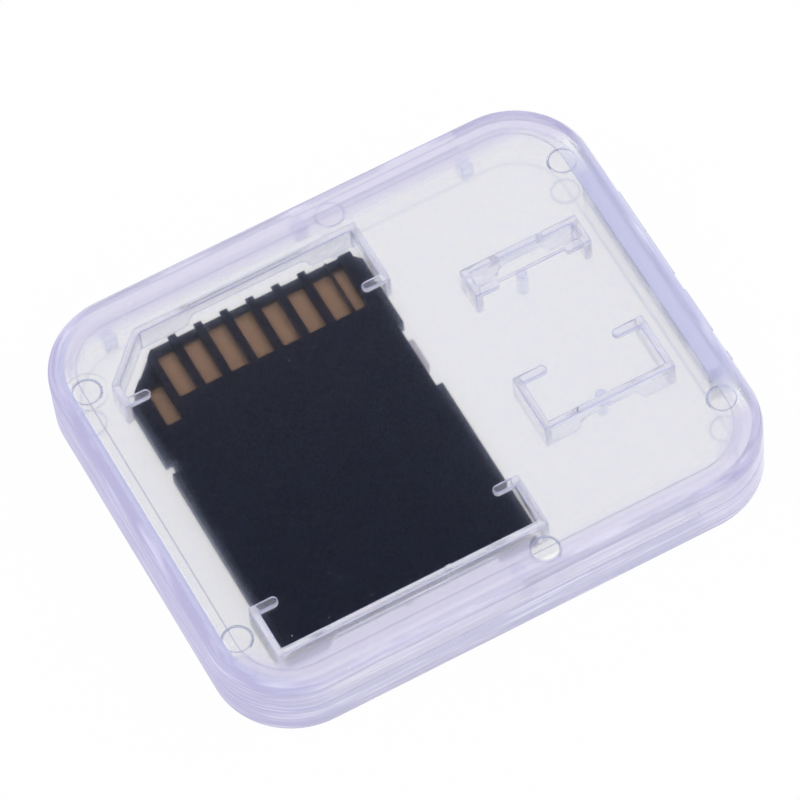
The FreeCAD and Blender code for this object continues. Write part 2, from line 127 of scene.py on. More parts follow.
def outline_inset(tree, coords):
    """How far a point lies in from the rounded outline, and how far it is into a corner (0 to 1)."""
    moved = add(tree, VECTOR, {0: coords, 1: outline_centre}, operation="SUBTRACT")
    flat = add(tree, VECTOR, {0: moved.outputs[0], 1: (1, 1, 0)}, operation="MULTIPLY")
    quarter = add(tree, VECTOR, {0: flat.outputs[0]}, operation="ABSOLUTE")
    core = (outline_half.x - corner_radius, outline_half.y - corner_radius, 0)
    past = add(tree, VECTOR, {0: quarter.outputs[0], 1: core}, operation="SUBTRACT")
    beyond = add(tree, VECTOR, {0: past.outputs[0], 1: (0, 0, 0)}, operation="MAXIMUM")
    reach = add(tree, VECTOR, {0: beyond.outputs[0]}, operation="LENGTH")
    inset = add(tree, MATH, {0: corner_radius, 1: reach.outputs["Value"]}, operation="SUBTRACT")
    both = add(tree, "ShaderNodeSeparateXYZ", {0: beyond.outputs[0]})
    least = add(tree, MATH, {0: both.outputs["X"], 1: both.outputs["Y"]}, operation="MINIMUM")
    corner = add(
        tree, RANGE, {"Value": least.outputs[0], "From Max": corner_fade}, interpolation_type="SMOOTHSTEP"
    )
    return inset.outputs[0], corner.outputs[0]


print("outline in mm:", [round(2 * v / MM, 2) for v in outline_half.xy], "corner", corner_radius / MM)

# %% [markdown]
# With the inset and the height, four places can be told apart. The inner faces look into the cavity,
# and the mould was blasted there, except close to the walls. A fine line runs round them, a groove in
# the plate, and its darker lilac tint is painted shade. The skin is the outer side of the walls with
# the rounded edges. The plates are the flat outer faces. Geometry's Backfacing tells the front of a
# face from its back, so that plastic seen from behind stays clear.

# %% Places on the shells
plate_margin = 0.25 * MM
edge_radius = 0.9 * MM
skin_depth = 0.1 * MM
blast_inset = 1.75 * MM
line_inset = 2.4 * MM
line_width = 0.12 * MM


def outer_skin(tree, inset, height):
    """One on the outer faces of the walls and on the rounded edges, zero elsewhere."""
    rise = add(tree, MATH, {0: height, 1: case_top / 2}, operation="SUBTRACT")
    apart = add(tree, MATH, {0: rise.outputs[0]}, operation="ABSOLUTE")
    curl = add(tree, MATH, {0: apart.outputs[0], 1: case_top / 2 - edge_radius}, operation="SUBTRACT")
    above = add(tree, MATH, {0: curl.outputs[0], 1: 0.0}, operation="MAXIMUM")
    square = add(tree, MATH, {0: above.outputs[0], 1: above.outputs[0]}, operation="MULTIPLY")
    limit = add(
        tree, MATH, {0: square.outputs[0], 1: 1 / edge_radius, 2: skin_depth}, operation="MULTIPLY_ADD"
    )
    return add(tree, MATH, {0: inset, 1: limit.outputs[0]}, operation="LESS_THAN").outputs[0]


def shell_places(tree, inset, height):
    """Sockets that are one on inner faces, skin, plates, the plates' front and the painted shade line."""
    middle, half = (floor_top + ceiling) / 2, (ceiling - floor_top) / 2 + plate_margin
    level = add(tree, MATH, {0: height, 1: middle, 2: half}, operation="COMPARE")
    within = add(tree, MATH, {0: inset, 1: blast_inset}, operation="GREATER_THAN")
    inner = add(tree, MATH, {0: within.outputs[0], 1: level.outputs[0]}, operation="MULTIPLY")
    behind = add(tree, "ShaderNodeNewGeometry").outputs["Backfacing"]
    front = add(tree, MATH, {0: 1.0, 1: behind}, operation="SUBTRACT")
    skin = add(tree, MATH, {0: outer_skin(tree, inset, height), 1: front.outputs[0]}, operation="MULTIPLY")
    flat = add(tree, MATH, {0: 1.0, 1: level.outputs[0]}, operation="SUBTRACT")
    plate = add(tree, MATH, {0: flat.outputs[0], 1: front.outputs[0]}, operation="MULTIPLY")
    # The fine line along the groove, where shade is painted.
    on_line = add(
        tree, MATH, {0: inset, 1: line_inset + line_width / 2, 2: line_width / 2}, operation="COMPARE"
    )
    line = add(tree, MATH, {0: on_line.outputs[0], 1: inner.outputs[0]}, operation="MULTIPLY")
    return inner.outputs[0], skin.outputs[0], flat.outputs[0], plate.outputs[0], line.outputs[0]


print("blasted faces start", blast_inset / MM, "mm in from the outline")

# %% [markdown]
# Round pins push each shell out of its mould, and every pin leaves a shallow disc on the inner face.
# The discs' places are shares of the case's length and width, from which one function works out a
# disc's middle. The disc at the middle of the near side is polished clear, so the haze that comes
# next leaves it out. The distance from its middle is all that this takes.

# %% Ejector discs
pin_shares = (
    (-0.447, 0.321), (0.061, 0.445), (0.448, 0.321),
    (0.448, -0.321), (0.061, -0.445), (-0.447, -0.321),
)
polished_pin, polished_radius = 4, 1.3 * MM


def pin_centre(share, height):
    """Middle of an ejector disc, from its shares of the outline."""
    return Vector((
        outline_centre.x + 2 * share[0] * outline_half.x,
        outline_centre.y + 2 * share[1] * outline_half.y, height,
    ))


def hazy_plate(tree, coords, plate):
    """The plates without the one ejector disc that is polished clear."""
    disc = tuple(pin_centre(pin_shares[polished_pin], case_top))
    away = add(tree, VECTOR, {0: coords, 1: disc}, operation="DISTANCE")
    off = add(tree, MATH, {0: away.outputs["Value"], 1: polished_radius}, operation="GREATER_THAN")
    return add(tree, MATH, {0: plate, 1: off.outputs[0]}, operation="MULTIPLY").outputs[0]


print("ejector discs on each shell:", len(pin_shares))

# %% [markdown]
# The walls look milkiest at the two short sides. At the opening side the tray's lip lies inside the
# cover's wall, and at the hinge side a thick stretch of wall carries the straps, so both show as a
# lilac band with a crisp inner border. A Map Range node over a narrow range gives that border, and
# one over a wide range, with Smooth Step, fades the band out towards the corners.

# %% Bands at the short sides
lip_reach = 1.65 * MM
pad_reach = 2.7 * MM
pad_half, pad_fade = 10.5 * MM, 6.5 * MM
band_border = 0.2 * MM


def opening_band(tree, inset, x):
    """One on the strip over the lip at the opening side."""
    strip = add(
        tree, RANGE,
        {"Value": inset, "From Min": lip_reach - band_border, "From Max": lip_reach,
         "To Min": 1.0, "To Max": 0.0},
    )
    side = add(
        tree, RANGE,
        {"Value": x, "From Min": opening_x + lip_reach, "From Max": opening_x + corner_radius,
         "To Min": 1.0, "To Max": 0.0},
        interpolation_type="SMOOTHSTEP",
    )
    return add(tree, MATH, {0: strip.outputs[0], 1: side.outputs[0]}, operation="MULTIPLY").outputs[0]


def hinge_band(tree, x, y):
    """One on the thick stretch of wall behind the straps, fading towards the corners."""
    strip = add(
        tree, RANGE,
        {"Value": x, "From Min": hinge_x - pad_reach, "From Max": hinge_x - pad_reach + band_border},
    )
    away = add(tree, MATH, {0: y}, operation="ABSOLUTE")
    along = add(
        tree, RANGE,
        {"Value": away.outputs[0], "From Min": pad_half, "From Max": pad_half + pad_fade,
         "To Min": 1.0, "To Max": 0.0},
        interpolation_type="SMOOTHSTEP",
    )
    return add(tree, MATH, {0: strip.outputs[0], 1: along.outputs[0]}, operation="MULTIPLY").outputs[0]


print("lip band", lip_reach / MM, "mm, hinge band", pad_reach / MM, "mm wide")

# %% [markdown]
# Along the long sides the haze only fades in towards the wall. On the near side it is narrower on the
# hinge half, past the end of the lip. The corners have a haze of their own that stays close to the
# outline. The floor of the shallow slots along the parting counts as haze too, because it would shine
# through as a white slit if it were clear.

# %% Haze along the long sides
rim_full, rim_end = 2.8 * MM, 4.8 * MM
lip_end, lip_fade, lip_narrowing = 1.5 * MM, 2.5 * MM, 1.6 * MM
corner_full, corner_end = 1.8 * MM, 3.8 * MM
rim_milk, corner_milk = 0.55, 0.6
slot_depth, parting_half = 0.35 * MM, 0.06 * MM


def slot_floor(tree, inset, place):
    """One on the floor of the shallow slots along the parting, which are on the hinge half."""
    parting = add(tree, MATH, {0: place.outputs["Z"], 1: split, 2: parting_half}, operation="COMPARE")
    shallow = add(tree, MATH, {0: inset, 1: slot_depth}, operation="LESS_THAN")
    half = add(tree, MATH, {0: place.outputs["X"], 1: 0.0}, operation="GREATER_THAN")
    low = add(tree, MATH, {0: parting.outputs[0], 1: shallow.outputs[0]}, operation="MULTIPLY")
    return add(tree, MATH, {0: low.outputs[0], 1: half.outputs[0]}, operation="MULTIPLY").outputs[0]


def side_strip(tree, place):
    """One along the long sides, fading out inwards, and narrower on the near side past the lip."""
    away = add(tree, MATH, {0: place.outputs["Y"]}, operation="ABSOLUTE")
    past_lip = add(
        tree, RANGE, {"Value": place.outputs["X"], "From Min": lip_end, "From Max": lip_end + lip_fade},
        interpolation_type="SMOOTHSTEP",
    )
    near_half = add(tree, MATH, {0: place.outputs["Y"], 1: 0.0}, operation="LESS_THAN")
    thin = add(tree, MATH, {0: past_lip.outputs[0], 1: near_half.outputs[0]}, operation="MULTIPLY")
    reach = add(
        tree, MATH, {0: thin.outputs[0], 1: -lip_narrowing, 2: away.outputs[0]}, operation="MULTIPLY_ADD"
    )
    return add(
        tree, RANGE,
        {"Value": reach.outputs[0], "From Min": outline_half.y - rim_end,
         "From Max": outline_half.y - rim_full},
        interpolation_type="SMOOTHSTEP",
    ).outputs[0]


def rim_haze(tree, inset, corner, place, plate):
    """One on the hazy rim of the plates, and the milk share that it has there."""
    edge = add(
        tree, RANGE,
        {"Value": inset, "From Min": corner_full, "From Max": corner_end, "To Min": 1.0, "To Max": 0.0},
        interpolation_type="SMOOTHSTEP",
    )
    bend = add(tree, MATH, {0: corner, 1: edge.outputs[0]}, operation="MULTIPLY")
    border = add(tree, MATH, {0: side_strip(tree, place), 1: bend.outputs[0]}, operation="MAXIMUM")
    top = add(tree, MATH, {0: border.outputs[0], 1: plate}, operation="MULTIPLY")
    rim = add(tree, MATH, {0: top.outputs[0], 1: slot_floor(tree, inset, place)}, operation="MAXIMUM")
    dense = add(tree, RANGE, {"Value": corner, "To Min": rim_milk, "To Max": corner_milk})
    haze = add(tree, MATH, {0: rim.outputs[0], 1: dense.outputs[0]}, operation="MULTIPLY")
    return rim.outputs[0], haze.outputs[0]


print("haze ends", rim_end / MM, "mm in from the long sides")

# %% [markdown]
# Milk is the share of the light that the plastic scatters, so it is used later as one minus
# Transmission Weight. Each place has its own share, and where two places meet the larger one counts.
# The places are handed on with the milk, because each has a tint of its own.

# %% Milk in the walls
flank_milk, opening_milk = 0.7, 0.9


def wall_milk(tree, inset, corner, place, skin, plate, skin_share):
    """Milk share all over, then the rim, the short sides and the opening wall as places."""
    rim, haze = rim_haze(tree, inset, corner, place, plate)
    lip = opening_band(tree, inset, place.outputs["X"])
    pad = hinge_band(tree, place.outputs["X"], place.outputs["Y"])
    short = add(tree, MATH, {0: lip, 1: pad}, operation="MAXIMUM")
    outside = add(tree, MATH, {0: skin, 1: plate}, operation="MAXIMUM")
    flank = add(tree, MATH, {0: short.outputs[0], 1: outside.outputs[0]}, operation="MULTIPLY").outputs[0]
    opening = add(tree, MATH, {0: lip, 1: skin}, operation="MULTIPLY").outputs[0]
    milk = haze
    for spot, share in ((skin, skin_share), (flank, flank_milk), (opening, opening_milk)):
        part = add(tree, MATH, {0: spot, 1: share}, operation="MULTIPLY")
        milk = add(tree, MATH, {0: milk, 1: part.outputs[0]}, operation="MAXIMUM").outputs[0]
    return milk, rim, flank, opening


print("milk at the short sides", flank_milk, "and on the opening wall", opening_milk)

# %% [markdown]
# Three fine patterns lie on the shells. All walls have pale lines, a quarter of a millimetre wide,
# from sliding out of the mould: a noise that a Mapping node stretches along the wall. A few specks of
# dust lie on the plates. A Voronoi texture has one point in each cell, and only the points that
# happen to lie close to the surface show, which scatters them without any list of places. The inside
# of the mould was blasted with fine grit. Real grains are far too fine to show, so they are drawn
# 0.01 mm wide, and each one is either clear or matt.

# %% Drag lines, dust and blasted grains
drag_width, drag_stretch = 0.25 * MM, 0.04
drag_from, drag_full, drag_share = 0.5, 0.7, 0.55
dust_size, dust_spacing = 0.05 * MM, 1.2 * MM
grain_size = 0.01 * MM
outer_grains = 0.1


def drag_lines(tree, coords, skin):
    """Pale lines along the walls, where the shell slid out of its mould."""
    along = add(tree, "ShaderNodeMapping", {"Vector": coords, "Scale": (drag_stretch, drag_stretch, 1.0)})
    noise = add(
        tree, "ShaderNodeTexNoise", {"Vector": along.outputs[0], "Scale": 1 / drag_width, "Detail": 2.0}
    )
    pale = add(
        tree, RANGE,
        {"Value": noise.outputs["Fac"], "From Min": drag_from, "From Max": drag_full, "To Max": drag_share},
    )
    return add(tree, MATH, {0: pale.outputs[0], 1: skin}, operation="MULTIPLY").outputs[0]


def plate_dust(tree, coords, plate):
    """One on the few specks of dust on the outer plates."""
    cells = add(tree, "ShaderNodeTexVoronoi", {"Vector": coords, "Scale": 1 / dust_spacing})
    speck = add(
        tree, MATH, {0: cells.outputs["Distance"], 1: dust_size / dust_spacing}, operation="LESS_THAN"
    )
    return add(tree, MATH, {0: speck.outputs[0], 1: plate}, operation="MULTIPLY").outputs[0]


def blasted_grains(tree, coords, inner, flat, inner_grains):
    """One on the matt grains of the inner faces and, more sparsely, of the plates."""
    snapped = add(tree, VECTOR, {0: coords, 1: (grain_size,) * 3}, operation="SNAP")
    noise = add(tree, "ShaderNodeTexWhiteNoise", {"Vector": snapped.outputs[0]})
    outside = add(tree, MATH, {0: flat, 1: outer_grains}, operation="MULTIPLY")
    share = add(tree, MATH, {0: inner, 1: inner_grains, 2: outside.outputs[0]}, operation="MULTIPLY_ADD")
    matt = add(tree, MATH, {0: noise.outputs["Value"], 1: share.outputs[0]}, operation="LESS_THAN")
    return matt.outputs[0]


print("dust specks", dust_size / MM, "mm, grains", grain_size / MM, "mm")

# %% [markdown]
# Polypropylene is clear with a slight haze. The outside of the mould was polished, so the plates are
# smooth. The blasted grains inside scatter light widely and send on a bluer light, while the plastic
# between them stays clear, so what lies deeper in the case has a sharp picture with a soft glow round
# it. A matt face must not mirror the sky over the dark card, so its Specular Tint is black. Most of
# the wall at the opening is a plain Diffuse shader in a dark lilac, without gloss: painted shade for
# the dimmer light on that side of the case. The groove's fine line is painted shade too. The tints
# are laid over each other in a loop, from the widest place to the smallest.

# %% Clear polypropylene, polished outside and blasted inside
clear_ior = 1.49
# The line tint is painted shade along the groove.
clear_tint, groove_shade_tint = "#fefefd", "#a9abc8"
rim_tint, corner_tint = "#d9d6e8", "#bbb8d6"
# The opening tint is painted shade on the wall at the opening.
flank_tint, opening_shade_tint = "#c3c4e2", "#bfbcd8"
drag_tint, dust_tint = "#eeedfa", "#d3d4de"
polish_roughness, grain_roughness = 0.05, 0.6
# The second share paints shade on the wall at the opening, as a matt dark lilac.
skin_dullness, matt_shade_share = 0.9, 0.8


def clear_plastic(name, inner_tint, inner_grains, grain_tint, inner_roughness, wall_tint, skin_share):
    """Clear moulded polypropylene for a shell."""
    material, tree, output = start_material(name)
    coords = add(tree, "ShaderNodeTexCoord").outputs["Object"]
    place = add(tree, "ShaderNodeSeparateXYZ", {0: coords})
    inset, corner = outline_inset(tree, coords)
    inner, skin, flat, plate, line = shell_places(tree, inset, place.outputs["Z"])
    hazy = hazy_plate(tree, coords, plate)
    milk, rim, flank, opening = wall_milk(tree, inset, corner, place, skin, hazy, skin_share)
    grains = blasted_grains(tree, coords, inner, flat, inner_grains)
    dust = plate_dust(tree, coords, plate)

    wall = add(
        tree, "ShaderNodeMix", {"Factor": corner, "A": linear(wall_tint), "B": linear(corner_tint)},
        data_type="RGBA",
    )
    colour = linear(clear_tint)
    for share, tint in (
        # The line tint paints the shade in the groove.
        (inner, linear(inner_tint)), (grains, linear(grain_tint)), (line, linear(groove_shade_tint)),
        (rim, linear(rim_tint)), (skin, wall.outputs["Result"]), (flank, linear(flank_tint)),
        # The opening wall's tint is painted shade.
        (opening, linear(opening_shade_tint)), (drag_lines(tree, coords, skin), linear(drag_tint)),
        (dust, linear(dust_tint)),
    ):
        layer = add(tree, "ShaderNodeMix", {"Factor": share, "A": colour, "B": tint}, data_type="RGBA")
        colour = layer.outputs["Result"]

    smooth = add(tree, RANGE, {"Value": inner, "To Min": polish_roughness, "To Max": inner_roughness})
    rough = add(tree, RANGE, {"Value": grains, "To Min": smooth.outputs[0], "To Max": grain_roughness})
    blasted = add(tree, MATH, {0: inner, 1: grains}, operation="MAXIMUM")
    dull = add(tree, MATH, {0: skin, 1: skin_dullness}, operation="MULTIPLY")
    matt = add(tree, MATH, {0: blasted.outputs[0], 1: dull.outputs[0]}, operation="MAXIMUM")
    gloss = add(
        tree, "ShaderNodeMix",
        {"Factor": matt.outputs[0], "A": linear("#ffffff"), "B": linear("#000000")}, data_type="RGBA",
    )
    covered = add(tree, MATH, {0: milk, 1: dust}, operation="MAXIMUM")
    clearness = add(tree, MATH, {0: 1.0, 1: covered.outputs[0]}, operation="SUBTRACT")
    shader = add(tree, "ShaderNodeBsdfPrincipled", {
        "Base Color": colour, "Roughness": rough.outputs[0], "IOR": clear_ior,
        "Specular Tint": gloss.outputs["Result"], "Transmission Weight": clearness.outputs[0],
    })
    # Most of the opening wall is matt dark lilac: painted shade for the dimmer light on that side.
    matt_wall = add(tree, "ShaderNodeBsdfDiffuse", {"Color": colour})
    matt_shade = add(tree, MATH, {0: opening, 1: matt_shade_share}, operation="MULTIPLY")
    mixed = add(
        tree, "ShaderNodeMixShader",
        {0: matt_shade.outputs[0], 1: shader.outputs[0], 2: matt_wall.outputs[0]},
    )
    tree.links.new(mixed.outputs[0], output.inputs["Surface"])
    return material


# The printed share is painted shade on the opening wall.
print("scuffed share of the opening wall:", matt_shade_share)

# %% [markdown]
# Both shells are made by that one function. The tray is on top, so its blasted face brings the
# colours: bluish grains with slightly warm plastic between them. The cover is seen through the tray,
# so it stays neutral, and its inner face is rougher and its walls milkier.

# %% Plastic of the two shells
tray_plastic = clear_plastic(
    "clear_polypropylene_tray", inner_tint="#fff3df", inner_grains=0.35, grain_tint="#acc0f8",
    inner_roughness=0.18, wall_tint="#c8c6dc", skin_share=0.65,
)
cover_plastic = clear_plastic(
    "clear_polypropylene_cover", inner_tint="#fefefd", inner_grains=0.4, grain_tint="#fefefd",
    inner_roughness=0.35, wall_tint="#bcbbd6", skin_share=0.8,
)
print("shell materials:", tray_plastic.name, cover_plastic.name)

# %% [markdown]
# The fences, ribs, posts and straps are thin upright walls of the same plastic. They are seen along
# their height, so they look hazier than the plates. Their rounded edges gather light as lilac
# outlines, and that light is painted: the edges get a milkier plastic of their own, a painted
# highlight. One function makes the fences' fill, their painted outline, the ribs and the straps, with
# more or less milk. Soft flow marks, 1.5 mm wide, let the milk swell and fade a little.

# %% Hazy polypropylene
flow_width = 1.5 * MM
flow_share = 0.12
hazy_gloss = "#404040"


def hazy_plastic(name, tint, milk_share, roughness):
    """Polypropylene in thin upright walls, where its own haze shows."""
    material, tree, output = start_material(name)
    coords = add(tree, "ShaderNodeTexCoord").outputs["Object"]
    flow = add(tree, "ShaderNodeTexNoise", {"Vector": coords, "Scale": 1 / flow_width, "Detail": 2.0})
    clear_share = add(
        tree, RANGE,
        {"Value": flow.outputs["Fac"], "To Min": 1.0 - milk_share - flow_share,
         "To Max": 1.0 - milk_share + flow_share},
    )
    behind = add(tree, "ShaderNodeNewGeometry").outputs["Backfacing"]
    clearness = add(tree, RANGE, {"Value": behind, "To Min": clear_share.outputs[0], "To Max": 1.0})
    colour = add(
        tree, "ShaderNodeMix", {"Factor": behind, "A": linear(tint), "B": linear("#ffffff")},
        data_type="RGBA",
    )
    shader = add(tree, "ShaderNodeBsdfPrincipled", {
        "Base Color": colour.outputs["Result"], "Roughness": roughness, "IOR": clear_ior,
        "Specular Tint": linear(hazy_gloss), "Transmission Weight": clearness.outputs[0],
    })
    tree.links.new(shader.outputs[0], output.inputs["Surface"])
    return material


fence_plastic = hazy_plastic("hazy_polypropylene_fence", "#f6f5ff", milk_share=0.2, roughness=0.15)
# The edge plastic paints the highlight that the rounded edges gather.
edge_highlight_plastic = hazy_plastic("hazy_polypropylene_edge_highlight", "#e6e5ff", milk_share=0.75, roughness=0.2)
rib_plastic = hazy_plastic("hazy_polypropylene_rib", "#e6e8ff", milk_share=0.25, roughness=0.15)
strap_plastic = hazy_plastic("hazy_polypropylene_strap", "#bcbfdc", milk_share=0.85, roughness=0.2)
print("hazy materials:", fence_plastic.name, edge_highlight_plastic.name, rib_plastic.name, strap_plastic.name)

# %% [markdown]
# The card's finishes are all solid: moulded ABS, gold over nickel, solder mask, epoxy resin, ceramic
# and paper. Each has two close colours that a noise mixes, a roughness that the same noise varies,
# and a fine relief. The size of that noise is the size of the grain, such as the spark marks of the
# mould, and where that is too fine to show it is drawn coarser.

# %% Solid finishes
roughness_swing = 0.08
relief_strength = 0.5


def solid_finish(name, dark, light, roughness, grain, relief, metallic=0.0, specular=0.5):
    """A solid finish whose colour, roughness and relief follow a grain of a set size."""
    material, tree, output = start_material(name)
    coords = add(tree, "ShaderNodeTexCoord").outputs["Object"]
    noise = add(tree, "ShaderNodeTexNoise", {"Vector": coords, "Scale": 1 / grain, "Detail": 3.0})
    colour = add(
        tree, "ShaderNodeMix",
        {"Factor": noise.outputs["Fac"], "A": linear(dark), "B": linear(light)}, data_type="RGBA",
    )
    rough = add(
        tree, RANGE,
        {"Value": noise.outputs["Fac"], "To Min": roughness - roughness_swing,
         "To Max": roughness + roughness_swing},
    )
    bump = add(
        tree, "ShaderNodeBump",
        {"Height": noise.outputs["Fac"], "Distance": relief, "Strength": relief_strength},
    )
    shader = add(tree, "ShaderNodeBsdfPrincipled", {
        "Base Color": colour.outputs["Result"], "Roughness": rough.outputs[0], "Metallic": metallic,
        "Specular IOR Level": specular, "Normal": bump.outputs[0],
    })
    tree.links.new(shader.outputs[0], output.inputs["Surface"])
    return material


print("roughness varies by", roughness_swing, "each way")

# %% [markdown]
# Epoxy resin is matt from its mould, solder mask is a satin film over the board, capacitors are
# barium ceramic, and the label is plain coated paper. The card's ABS is spark-eroded and almost
# without gloss, and its slider is the same plastic in a pale grey.

# %% Finishes of the card
chip_resin = solid_finish(
    "epoxy_resin_moulded", "#161618", "#222225", roughness=0.6, grain=0.15 * MM, relief=0.008 * MM
)
solder_mask = solid_finish(
    "solder_mask_film", "#090b15", "#0e1020", roughness=0.4, grain=0.3 * MM, relief=0.005 * MM,
    specular=0.12,
)
capacitor = solid_finish(
    "barium_ceramic_fired", "#86714f", "#9a8568", roughness=0.5, grain=0.1 * MM, relief=0.004 * MM
)
label_stock = solid_finish(
    "paper_label_coated", "#26272c", "#303138", roughness=0.6, grain=0.2 * MM, relief=0.006 * MM
)
card_plastic = solid_finish(
    "abs_card_moulded", "#02041b", "#040620", roughness=0.4, grain=0.12 * MM, relief=0.006 * MM,
    specular=0.04,
)
slider_plastic = solid_finish(
    "abs_slider_moulded", "#c6c1c4", "#d4cfd1", roughness=0.5, grain=0.12 * MM, relief=0.006 * MM
)
print("solid finishes:", chip_resin.name, solder_mask.name, capacitor.name, card_plastic.name)

# %% [markdown]
# The contacts are hard gold over nickel. The plating is rolled along the contact and worn by the
# socket's springs, so fine streaks run along Y. The gold is also browner towards the card's inside.
# A Mapping node stretches the noise along Y to draw the streaks.

# %% Gold contacts with streaks
streak_width, streak_stretch = 0.12 * MM, 0.1
inward_tint, inward_share = "#8a6d51", 0.45
contact_low, contact_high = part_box("card_contact_4")

gold_plate = solid_finish(
    "gold_plate_worn", "#ab8868", "#bf9c7a", roughness=0.6, grain=streak_width, relief=0.003 * MM,
    metallic=0.8,
)
tree = gold_plate.node_tree
noise = next(node for node in tree.nodes if node.bl_idname == "ShaderNodeTexNoise")
shader = next(node for node in tree.nodes if node.bl_idname == "ShaderNodeBsdfPrincipled")
coords = noise.inputs["Vector"].links[0].from_socket
stretched = add(tree, "ShaderNodeMapping", {"Vector": coords, "Scale": (1.0, streak_stretch, 1.0)})
tree.links.new(stretched.outputs[0], noise.inputs["Vector"])
place = add(tree, "ShaderNodeSeparateXYZ", {0: coords})
# The gold turns browner towards the card's inside, at low Y.
inward = add(
    tree, RANGE,
    {"Value": place.outputs["Y"], "From Min": contact_low.y, "From Max": contact_high.y,
     "To Min": inward_share, "To Max": 0.0},
)
brown_mix = add(
    tree, "ShaderNodeMix",
    {"Factor": inward.outputs[0], "A": shader.inputs["Base Color"].links[0].from_socket,
     "B": linear(inward_tint)},
    data_type="RGBA",
)
tree.links.new(brown_mix.outputs["Result"], shader.inputs["Base Color"])
print("contact length", round((contact_high.y - contact_low.y) / MM, 2), "mm")

# %% [markdown]
# A CAD node keeps its mesh, and modifiers finish it: Weld joins its loose triangles, Bevel softens
# its edges, and Edge Split keeps flat faces flat when the rest is shaded smooth. Two clear pieces that
# touch would share a face, and a ray can't tell which one it enters, so Displace draws each clear
# piece in by a hundredth of a millimetre.

# %% Modifiers for the CAD nodes
weld_distance = 0.0005 * MM
smooth_angle = math.radians(35)
sharp_angle = math.radians(40)
flat_angle = math.radians(0.5)
clear_gap = 0.01 * MM
edge_steps = 2


def draw_in(piece):
    """Draws a clear piece in by a hair, so that it shares no face with its neighbours."""
    inwards = piece.modifiers.new("gap", "DISPLACE")
    inwards.strength = -clear_gap
    inwards.mid_level = 0.0


def keep_creases(piece):
    """Keeps flat faces flat beside smooth ones."""
    piece.modifiers.new("crease", "EDGE_SPLIT").split_angle = smooth_angle


def dress(name, material, edge=0.0, clear=False, highlight_material=None):
    """Gives a CAD node its finish, joined triangles and softened edges."""
    piece = nodes[name]
    piece.data.materials.clear()
    piece.data.materials.append(material)
    piece.modifiers.new("weld", "WELD").merge_threshold = weld_distance
    if edge:
        flat = piece.modifiers.new("flat", "DECIMATE")
        flat.decimate_type = "DISSOLVE"
        flat.angle_limit = flat_angle
        soft = piece.modifiers.new("edge", "BEVEL")
        soft.width = edge
        soft.segments = edge_steps
        soft.limit_method = "ANGLE"
        soft.angle_limit = sharp_angle
    # The rounded edges may get the painted highlight's material.
    if highlight_material:
        piece.data.materials.append(highlight_material)
        soft.material = 1
    if clear:
        draw_in(piece)
    keep_creases(piece)
    for polygon in piece.data.polygons:
        polygon.use_smooth = True


print("clear pieces are drawn in by", clear_gap / MM, "mm")

# %% [markdown]
# Now every CAD node that stays gets its finish. Posts and ribs get a second one on their rounded
# edges, a milkier plastic that paints their highlight as a pale outline. The card's edges are softened
# just enough to catch the light.

# %% Dress the CAD nodes
rib_edge, contact_edge = 0.15 * MM, 0.02 * MM
housing_edge, slider_edge = 0.06 * MM, 0.05 * MM

dress("tray_shell", tray_plastic, clear=True)
dress("cover_shell", cover_plastic, clear=True)
for name in nodes:
    if "_post_" in name or name.endswith("_ribs"):
        # Posts and ribs get the painted highlight on their rounded edges.
        dress(name, rib_plastic, rib_edge, clear=True, highlight_material=edge_highlight_plastic)
    elif name.startswith("latch_bead"):
        dress(name, fence_plastic, clear=True)
    elif name.startswith("card_contact"):
        dress(name, gold_plate, contact_edge)
dress("card_rear_housing", card_plastic, housing_edge)
dress("card_front_housing", card_plastic, housing_edge)
dress("card_circuit_board", solder_mask)
dress("card_memory_chip", chip_resin)
dress("card_controller_chip", chip_resin)
dress("card_capacitors", capacitor)
dress("card_label", label_stock)
dress("write_protect_slider", slider_plastic, slider_edge)
print("dressed nodes:", sum(1 for node in nodes.values() if node.modifiers))

# %% [markdown]
# The fences' rounded edges are what the eye follows through the plate. Some edges of the small tongues
# are shorter than such a bevel, and a modifier would tangle them. A copy of the CAD mesh lets the
# script choose: its doubles are merged, its flat triangles are dissolved, and only edges that are long
# enough for the bevel get one. The new faces get the outline's finish, the painted highlight.

# %% Fences with rounded edges
fence_edge = 0.13 * MM
tongue_edge = 0.25 * MM


def finish_piece(name, mesh, *materials):
    """An object at the origin from a bmesh, with its materials."""
    data = bpy.data.meshes.new(name)
    mesh.to_mesh(data)
    mesh.free()
    for material in materials:
        data.materials.append(material)
    piece = bpy.data.objects.new(name, data)
    bpy.context.scene.collection.objects.link(piece)
    return piece


def soft_fence(name, least_edge=0.0):
    """A copy of a fence with its longer edges rounded, in place of the CAD node."""
    mesh = bmesh.new()
    mesh.from_mesh(nodes[name].data)
    bmesh.ops.remove_doubles(mesh, verts=mesh.verts, dist=weld_distance)
    bmesh.ops.dissolve_limit(mesh, angle_limit=flat_angle, verts=mesh.verts, edges=mesh.edges)
    sharp = [
        edge for edge in mesh.edges
        if edge.calc_face_angle() > sharp_angle and edge.calc_length() > least_edge
    ]
    rounded = bmesh.ops.bevel(
        mesh, geom=sharp, offset=fence_edge, affect="EDGES", segments=edge_steps, profile=0.5, material=-1,
        clamp_overlap=False,
    )
    for face in mesh.faces:
        face.smooth = True
        face.material_index = 0
    # The rounded faces get the painted highlight's material.
    for face in rounded["faces"]:
        face.material_index = 1
    piece = finish_piece(f"soft_{name}", mesh, fence_plastic, edge_highlight_plastic)
    draw_in(piece)
    keep_creases(piece)
    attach(piece, "tray")
    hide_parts(name)
    return piece


fences = [
    soft_fence("sd_fence_contact_end"),
    soft_fence("sd_fence_tail_end"),
    soft_fence("micro_fence_contact_end", tongue_edge),
    soft_fence("micro_fence_tail_end"),
]
print("fence faces:", [len(fence.data.polygons) for fence in fences])

